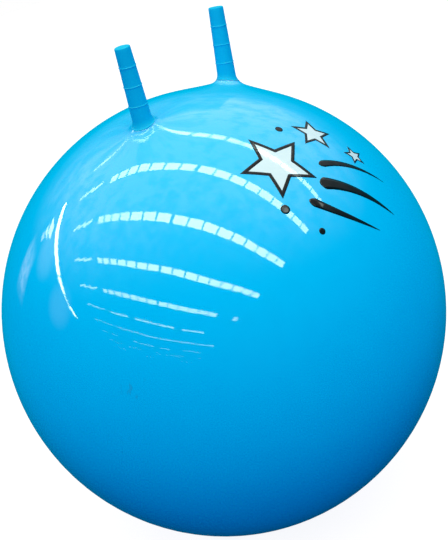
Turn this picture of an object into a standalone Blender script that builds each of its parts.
"""Inflatable hopper ball with two ringed horn handles and a push-in air valve.

The ball is one thin moulded skin, pumped up, that stands on the small patch its weight flattens.
Each horn is a hollow, tapered tube with a closed end, and it grows out of the skin through a flared
neck, where it bends in the hand. The valve at the back is a soft seat set into the skin and a
stopper that pushes into it.

Units are metres and +Z is up. +X runs along the line of the two horns, and -Y is the front.
The origin is the middle of the flat patch that the ball stands on.
"""

import math

import bmesh
import bpy
from mathutils import Matrix, Vector

# The ball, pumped up
BALL_DIAMETER = 0.500
BALL_HEIGHT = 0.508
SKIN_THICKNESS = 0.0010
CONTACT_PATCH_RADIUS = 0.025

# Where each horn stands: its angle from the top of the ball, and how far its axis leans from upright
HORN_POLE_ANGLE_DEG = 17.0
HORN_LEAN_OUT_DEG = 3.5
HORN_LEAN_BACK_DEG = 3.0

# The horn's own sizes, along its axis from the level of the skin
HORN_LENGTH = 0.0865
HORN_TIP_DIAMETER = 0.0162
HORN_ROOT_DIAMETER = 0.0210
HORN_WALL = 0.0016
HORN_TIP_FILLET = 0.0012
RING_COUNT = 3
RING_HEIGHT = 0.0004
RING_WIDTH = 0.0018
ROOT_RING_HEIGHT = 0.0065

# The flared neck between the skin and the horn, its straight part above the flare, and where it bends
NECK_MOUTH_DIAMETER = 0.064
NECK_FILLET = 0.0140
NECK_STRAIGHT = 0.0060
BEND_HEIGHT = 0.0100

# The valve: its height above the ball's middle as an angle, the stopper, and the seat round it
VALVE_ANGLE_DEG = 36.0
PLUG_HEAD_DIAMETER = 0.0150
PLUG_HEAD_THICKNESS = 0.0016
PLUG_HEAD_DOME = 0.0006
PLUG_SHANK_DIAMETER = 0.0080
PLUG_SHANK_LENGTH = 0.0145
PLUG_RIB_COUNT = 3
PLUG_RIB_HEIGHT = 0.0005
SEAT_COLLAR_WALL = 0.0014
SEAT_BOSS_WALL = 0.0030
SEAT_FLANGE_WIDTH = 0.0042
SEAT_FLANGE_THICKNESS = 0.0014
SEAT_DEPTH = 0.0120

# Gap between pieces that touch
CLEARANCE = 0.0003

# A ring's section, from its upper edge down: offset as a share of its width, rise as one of its height
RING_SECTION = ((0.5, 0.0), (0.2, 0.9), (-0.2, 0.9), (-0.5, 0.0))

# Facets round each turned piece, along each half of the skin, along an arc and along a half of a neck
SKIN_STEPS = 56
SKIN_RINGS = 14
HORN_STEPS = 24
VALVE_STEPS = 24
HOLE_STEPS = 40
FILLET_STEPS = 4
NECK_STEPS = 5
SHARP_ANGLE = math.radians(35.0)
MERGE_DISTANCE = 0.00005

# Share of the way to its corner at which a cubic's handle makes it a quarter of a circle
ARC_HANDLE = 0.5523
BISECTIONS = 30

# Worked out from the sizes above
BALL_RADIUS = BALL_DIAMETER / 2
POLE_RADIUS = BALL_HEIGHT / 2
PATCH_SINE = CONTACT_PATCH_RADIUS / BALL_RADIUS
CENTRE_Z = POLE_RADIUS * math.sqrt(1 - PATCH_SINE**2)
NECK_MOUTH_RADIUS = NECK_MOUTH_DIAMETER / 2
NECK_LENGTH = NECK_FILLET + NECK_STRAIGHT
RECESS_RADIUS = PLUG_HEAD_DIAMETER / 2 + CLEARANCE
COLLAR_RADIUS = RECESS_RADIUS + SEAT_COLLAR_WALL
BORE_RADIUS = PLUG_SHANK_DIAMETER / 2 + CLEARANCE

SKY_BLUE = (0.005, 0.330, 0.800, 1.0)
HORN_BLUE = (0.004, 0.290, 0.740, 1.0)
SEAT_BLUE = (0.010, 0.260, 0.640, 1.0)
PLUG_WHITE = (0.860, 0.880, 0.900, 1.0)


def clear_scene():
    """Remove every object that the file opened with."""
    for obj in list(bpy.data.objects):
        bpy.data.objects.remove(obj, do_unlink=True)


def make_collection(name):
    """Return a new collection linked to the scene."""
    collection = bpy.data.collections.new(name)
    bpy.context.scene.collection.children.link(collection)
    return collection


def make_material(name, colour, roughness):
    """Return a plastic material of one colour."""
    material = bpy.data.materials.new(name)
    material.use_nodes = True
    shader = material.node_tree.nodes["Principled BSDF"]
    shader.inputs["Base Color"].default_value = colour
    shader.inputs["Roughness"].default_value = roughness
    shader.inputs["Metallic"].default_value = 0.0
    material.diffuse_color = colour
    return material


def add_object(name, mesh, collection, material=None):
    """Link a mesh as a named object, with its material."""
    obj = bpy.data.objects.new(name, mesh)
    collection.objects.link(obj)
    if material is not None:
        mesh.materials.append(material)
    return obj


def profile_mesh(name, points, closed=False):
    """Return a mesh of one line of edges through (radius, height) points in the XZ plane."""
    count = len(points)
    edges = [(i, i + 1) for i in range(count - 1)]
    if closed:
        edges.append((count - 1, 0))
    mesh = bpy.data.meshes.new(name)
    mesh.from_pydata([(x, 0.0, z) for x, z in points], edges, [])
    return mesh


def turn(obj, steps):
    """Turn an object's profile once round its own Z axis."""
    screw = obj.modifiers.new("Turn", "SCREW")
    screw.axis = "Z"
    screw.angle = 2 * math.pi
    screw.steps = steps
    screw.render_steps = steps
    screw.use_merge_vertices = True
    screw.merge_threshold = MERGE_DISTANCE
    screw.use_smooth_shade = True


def thicken(obj, thickness):
    """Give an open surface a wall on its inner side."""
    solidify = obj.modifiers.new("Wall", "SOLIDIFY")
    solidify.thickness = thickness
    solidify.offset = -1.0
    solidify.use_even_offset = True
    solidify.use_rim = True


def cut(obj, cutter):
    """Take a cutter out of an object."""
    boolean = obj.modifiers.new("Cut " + cutter.name, "BOOLEAN")
    boolean.operation = "DIFFERENCE"
    boolean.solver = "EXACT"
    boolean.object = cutter


def freeze(obj):
    """Keep an object's finished mesh in place of its modifiers, smooth up to the sharp angle."""
    depsgraph = bpy.context.evaluated_depsgraph_get()
    mesh = bpy.data.meshes.new_from_object(obj.evaluated_get(depsgraph), depsgraph=depsgraph)
    obj.modifiers.clear()
    obj.data = mesh
    mesh.shade_smooth()
    mesh.set_sharp_from_angle(angle=SHARP_ANGLE)


def fillet(centre_x, centre_z, radius, start_deg, end_deg):
    """Return points along an arc, from one angle to the other, both ends included."""
    points = []
    for i in range(FILLET_STEPS + 1):
        angle = math.radians(start_deg + (end_deg - start_deg) * i / FILLET_STEPS)
        points.append((centre_x + radius * math.cos(angle), centre_z + radius * math.sin(angle)))
    return points


def skin_point(across, along):
    """Point of the ball's skin above or below a place (across = X, along = Y), on its upper half."""
    share = 1 - (across**2 + along**2) / BALL_RADIUS**2
    return Vector((across, along, CENTRE_Z + POLE_RADIUS * math.sqrt(share)))


def skin_normal(point):
    """Outward normal of the skin at one of its points."""
    height = point.z - CENTRE_Z
    return Vector((point.x / BALL_RADIUS**2, point.y / BALL_RADIUS**2, height / POLE_RADIUS**2)).normalized()


def frame_along(origin, z_axis, x_hint):
    """Matrix whose Z axis is z_axis and whose X axis is as near x_hint as it can be."""
    z = z_axis.normalized()
    x = (x_hint - z * x_hint.dot(z)).normalized()
    y = z.cross(x)
    matrix = Matrix((x, y, z)).transposed().to_4x4()
    matrix.translation = origin
    return matrix


class HornPlace:
    """Where one horn stands: side is -1 for the left horn and 1 for the right one."""

    def __init__(self, side):
        pole_angle = math.radians(HORN_POLE_ANGLE_DEG)
        lean_out = math.tan(math.radians(HORN_LEAN_OUT_DEG))
        lean_back = math.tan(math.radians(HORN_LEAN_BACK_DEG))
        self.foot = skin_point(side * BALL_RADIUS * math.sin(pole_angle), 0.0)
        self.normal = skin_normal(self.foot)
        self.axis = Vector((side * lean_out, lean_back, 1.0)).normalized()
        self.skin_frame = frame_along(self.foot, self.normal, Vector((1, 0, 0)))
        self.horn_frame = frame_along(self.foot, self.axis, Vector((1, 0, 0)))

    def on_axis(self, height):
        """Point on the horn's axis at a height above the skin."""
        return self.foot + self.axis * height


def horn_radius(height):
    """Outer radius of the plain tapered horn at a height above the skin."""
    share = height / HORN_LENGTH
    return (HORN_ROOT_DIAMETER * (1 - share) + HORN_TIP_DIAMETER * share) / 2


def ring_heights():
    """Heights of the moulded rings, which share out the horn evenly above its root ring."""
    pitch = (HORN_LENGTH - ROOT_RING_HEIGHT) / (RING_COUNT + 1)
    return [ROOT_RING_HEIGHT + pitch * (i + 1) for i in range(RING_COUNT)]


def horn_profile():
    """Profile of a horn, from the bend upwards.

    It runs from the middle of the horn's end down its outer side to the neck, and back up the inner
    side, which is smooth: the rings are moulded on the outside only.
    """
    bottom = NECK_LENGTH + CLEARANCE
    rim = min(HORN_TIP_FILLET, HORN_TIP_DIAMETER / 4)
    tip_x = horn_radius(HORN_LENGTH)
    inner_end = HORN_LENGTH - HORN_WALL
    inner_x = horn_radius(inner_end) - HORN_WALL
    points = [(0.0, HORN_LENGTH)]
    points += fillet(tip_x - rim, HORN_LENGTH - rim, rim, 90, 0)
    for height in reversed(ring_heights()):
        for offset, rise in RING_SECTION:
            z = height + offset * RING_WIDTH
            points.append((horn_radius(z) + rise * RING_HEIGHT, z))
    points += [(horn_radius(bottom), bottom), (horn_radius(bottom) - HORN_WALL, bottom)]
    points += fillet(inner_x - rim, inner_end - rim, rim, 0, 90)
    points.append((0.0, inner_end))
    return [(x, z - BEND_HEIGHT) for x, z in points]


def cubic(start, start_handle, end_handle, end, t):
    """Point of a cubic curve at a share t of its way."""
    rest = 1 - t
    near = start * rest**3 + start_handle * 3 * t * rest**2
    return near + end_handle * 3 * t**2 * rest + end * t**3


def neck_curve(place, angle):
    """Points of a neck from its mouth in the skin up to the horn, on one side of it.

    The curve leaves the mouth along the skin and runs into the horn's straight side, as a cubic
    with both handles aimed at the corner where the side would meet the skin. The root ring stands
    out of it at its own height on the horn's axis.
    """
    around = Vector((math.cos(angle), math.sin(angle), 0.0))
    mouth = on_skin(place.skin_frame @ (around * NECK_MOUTH_RADIUS), place.normal)
    top = place.horn_frame @ Vector((*(around * horn_radius(NECK_LENGTH)).xy, NECK_LENGTH))
    low = place.horn_frame @ Vector((*(around * horn_radius(0.0)).xy, 0.0))
    side = (top - low).normalized()
    corner = low - side * ((low - place.foot).dot(place.normal) / side.dot(place.normal))
    arc_end = corner + side * NECK_FILLET
    handles = (mouth.lerp(corner, ARC_HANDLE), arc_end.lerp(corner, ARC_HANDLE))

    def height(t):
        return (cubic(mouth, *handles, arc_end, t) - place.foot).dot(place.axis)

    low_t, high_t = 0.0, 1.0
    for _ in range(BISECTIONS):
        middle = (low_t + high_t) / 2
        if height(middle) < ROOT_RING_HEIGHT:
            low_t = middle
        else:
            high_t = middle
    ring_t = (low_t + high_t) / 2
    outward = (place.horn_frame.to_3x3() @ around + place.normal).normalized()
    half_ring = RING_WIDTH / 2 / (arc_end - mouth).length
    rows = [(ring_t * i / NECK_STEPS, 0.0) for i in range(NECK_STEPS)]
    rows += [(ring_t - half_ring, 0.0), (ring_t, RING_HEIGHT), (ring_t + half_ring, 0.0)]
    rows += [(ring_t + (1 - ring_t) * i / NECK_STEPS, 0.0) for i in range(1, NECK_STEPS + 1)]
    points = [cubic(mouth, *handles, arc_end, t) + outward * rise for t, rise in rows]
    points.append(top)
    return points


def on_skin(point, direction):
    """Move a point along a direction onto the ball's skin."""
    scale = Vector((1 / BALL_RADIUS, 1 / BALL_RADIUS, 1 / POLE_RADIUS))
    centre = Vector((0.0, 0.0, CENTRE_Z))
    p = (point - centre) * scale
    d = direction * scale
    a = d.dot(d)
    b = 2 * p.dot(d)
    c = p.dot(p) - 1
    step = (-b + math.sqrt(b * b - 4 * a * c)) / (2 * a)
    return point + direction * step


def make_cutter(name, matrix, radius, depth, collection):
    """Return a hidden cylinder, centred on a frame's origin and running along its Z axis."""
    bm = bmesh.new()
    bmesh.ops.create_cone(
        bm, cap_ends=True, segments=HOLE_STEPS, radius1=radius, radius2=radius, depth=depth
    )
    mesh = bpy.data.meshes.new(name)
    bm.to_mesh(mesh)
    bm.free()
    cutter = add_object(name, mesh, collection)
    cutter.matrix_world = matrix
    cutter.hide_render = True
    cutter.display_type = "WIRE"
    return cutter


def make_skin(collection, cutters, places, valve_frame):
    """The ball's skin: half an ellipse turned round Z, walled, with holes for the horns and valve."""
    equator = math.pi / 2
    patch_edge = math.pi - math.asin(PATCH_SINE)
    angles = [equator * i / SKIN_RINGS for i in range(1, SKIN_RINGS + 1)]
    angles += [equator + (patch_edge - equator) * i / SKIN_RINGS for i in range(1, SKIN_RINGS)]
    points = [(0.0, CENTRE_Z + POLE_RADIUS)]
    for angle in angles:
        points.append((BALL_RADIUS * math.sin(angle), CENTRE_Z + POLE_RADIUS * math.cos(angle)))
    points += [(CONTACT_PATCH_RADIUS, 0.0), (0.0, 0.0)]
    material = make_material("skin", SKY_BLUE, 0.15)
    skin = add_object("ball_shell", profile_mesh("ball_shell", points), collection, material)
    turn(skin, SKIN_STEPS)
    thicken(skin, SKIN_THICKNESS)
    hole_depth = NECK_MOUTH_DIAMETER
    for place, name in zip(places, ("left_horn_hole", "right_horn_hole")):
        radius = NECK_MOUTH_RADIUS + CLEARANCE
        cut(skin, make_cutter(name, place.skin_frame, radius, hole_depth, cutters))
    cut(skin, make_cutter("valve_hole", valve_frame, COLLAR_RADIUS + CLEARANCE, hole_depth, cutters))
    return skin


def make_neck(name, place, collection, material):
    """A flared neck: a loft from the round mouth in the skin to the leaning horn, with a wall."""
    bm = bmesh.new()
    columns = []
    for i in range(HORN_STEPS):
        angle = 2 * math.pi * i / HORN_STEPS
        columns.append([bm.verts.new(point) for point in neck_curve(place, angle)])
    for i, column in enumerate(columns):
        following = columns[(i + 1) % HORN_STEPS]
        for j in range(len(column) - 1):
            bm.faces.new((column[j], following[j], following[j + 1], column[j + 1]))
    mesh = bpy.data.meshes.new(name)
    bm.to_mesh(mesh)
    bm.free()
    neck = add_object(name, mesh, collection, material)
    thicken(neck, HORN_WALL)
    return neck


def make_horn(name, place, collection, material):
    """A hollow horn with a closed end and raised rings. Its origin is where it bends."""
    horn = add_object(name, profile_mesh(name, horn_profile()), collection, material)
    turn(horn, HORN_STEPS)
    horn.matrix_world = frame_along(place.on_axis(BEND_HEIGHT), place.axis, Vector((1, 0, 0)))
    return horn


def skin_drop(radius):
    """How far the faceted skin can lie below its tangent plane, at a radius from the touching point."""
    curve = radius**2 / (2 * min(BALL_RADIUS, POLE_RADIUS))
    facets = BALL_RADIUS * (1 - math.cos(math.pi / SKIN_STEPS))
    facets += POLE_RADIUS * (1 - math.cos(math.pi / 4 / SKIN_RINGS))
    return curve + facets


def make_seat(collection, valve_frame):
    """The valve's seat: a collar flush with the skin, a flange behind it and a boss with the bore."""
    flange_radius = COLLAR_RADIUS + SEAT_FLANGE_WIDTH
    flange_top = -(SKIN_THICKNESS + skin_drop(flange_radius) + CLEARANCE)
    flange_bottom = flange_top - SEAT_FLANGE_THICKNESS
    boss_radius = BORE_RADIUS + SEAT_BOSS_WALL
    floor = -(PLUG_HEAD_THICKNESS + CLEARANCE)
    seat_bottom = flange_bottom - SEAT_DEPTH
    edge = SEAT_COLLAR_WALL / 3
    points = [
        (RECESS_RADIUS, -edge),
        (RECESS_RADIUS + edge, 0.0),
        (COLLAR_RADIUS - edge, 0.0),
        (COLLAR_RADIUS, -edge),
        (COLLAR_RADIUS, flange_top),
        (flange_radius - edge, flange_top),
        (flange_radius, flange_top - edge),
        (flange_radius, flange_bottom),
        (boss_radius, flange_bottom),
        (boss_radius, seat_bottom + edge),
        (boss_radius - edge, seat_bottom),
        (BORE_RADIUS, seat_bottom),
        (BORE_RADIUS, floor - edge),
        (BORE_RADIUS + edge, floor),
        (RECESS_RADIUS, floor),
    ]
    material = make_material("valve_seat", SEAT_BLUE, 0.35)
    seat = add_object("valve_seat", profile_mesh("valve_seat", points, closed=True), collection, material)
    turn(seat, VALVE_STEPS)
    seat.matrix_world = valve_frame
    return seat


def plug_profile():
    """Profile of the stopper: a slightly domed head, a ribbed shank and a tapered end."""
    head = PLUG_HEAD_DIAMETER / 2
    rim = PLUG_HEAD_THICKNESS / 3
    rib = PLUG_SHANK_DIAMETER / 2
    core = rib - PLUG_RIB_HEIGHT
    bottom = -(PLUG_HEAD_THICKNESS + PLUG_SHANK_LENGTH)
    points = [(0.0, PLUG_HEAD_DOME), (head / 2, PLUG_HEAD_DOME * 0.75)]
    points += fillet(head - rim, -rim, rim, 75, 0)
    points += [(head, -PLUG_HEAD_THICKNESS), (core, -PLUG_HEAD_THICKNESS)]
    pitch = PLUG_SHANK_LENGTH / (PLUG_RIB_COUNT + 1)
    for i in range(PLUG_RIB_COUNT):
        middle = -(PLUG_HEAD_THICKNESS + pitch * (i + 1))
        points += [
            (core, middle + PLUG_RIB_HEIGHT * 1.5),
            (rib, middle + PLUG_RIB_HEIGHT * 0.5),
            (rib, middle - PLUG_RIB_HEIGHT * 0.5),
            (core, middle - PLUG_RIB_HEIGHT * 1.5),
        ]
    points += [(core, bottom + core / 2), (core * 0.6, bottom), (0.0, bottom)]
    return points


def make_plug(collection, valve_frame):
    """The stopper, pushed home in its seat. Its origin is on the line that it slides along."""
    material = make_material("valve_plug", PLUG_WHITE, 0.3)
    plug = add_object("valve_plug", profile_mesh("valve_plug", plug_profile()), collection, material)
    turn(plug, VALVE_STEPS)
    plug.matrix_world = valve_frame
    return plug


def valve_place():
    """Frame of the valve: its origin on the skin at the back, its Z axis straight out of the ball."""
    angle = math.radians(VALVE_ANGLE_DEG)
    point = skin_point(0.0, BALL_RADIUS * math.cos(angle))
    return frame_along(point, skin_normal(point), Vector((1, 0, 0)))


def main():
    clear_scene()
    parts = make_collection("hopper_ball")
    cutters = make_collection("cutters")
    left = HornPlace(-1)
    right = HornPlace(1)
    valve_frame = valve_place()
    horn_material = make_material("horn", HORN_BLUE, 0.25)
    objects = [
        make_skin(parts, cutters, (left, right), valve_frame),
        make_neck("left_handle_root", left, parts, horn_material),
        make_horn("left_handle", left, parts, horn_material),
        make_neck("right_handle_root", right, parts, horn_material),
        make_horn("right_handle", right, parts, horn_material),
        make_seat(parts, valve_frame),
        make_plug(parts, valve_frame),
    ]
    for obj in objects:
        freeze(obj)
    bend_left = left.on_axis(BEND_HEIGHT)
    bend_right = right.on_axis(BEND_HEIGHT)
    print("left horn bends at", [round(v, 6) for v in bend_left])
    print("right horn bends at", [round(v, 6) for v in bend_right])
    print("left horn axis", [round(v, 6) for v in left.axis])
    print("valve at", [round(v, 6) for v in valve_frame.translation])
    print("valve axis", [round(v, 6) for v in valve_frame.col[2].xyz])
    print("middle of the ball at", round(CENTRE_Z, 6))


main()
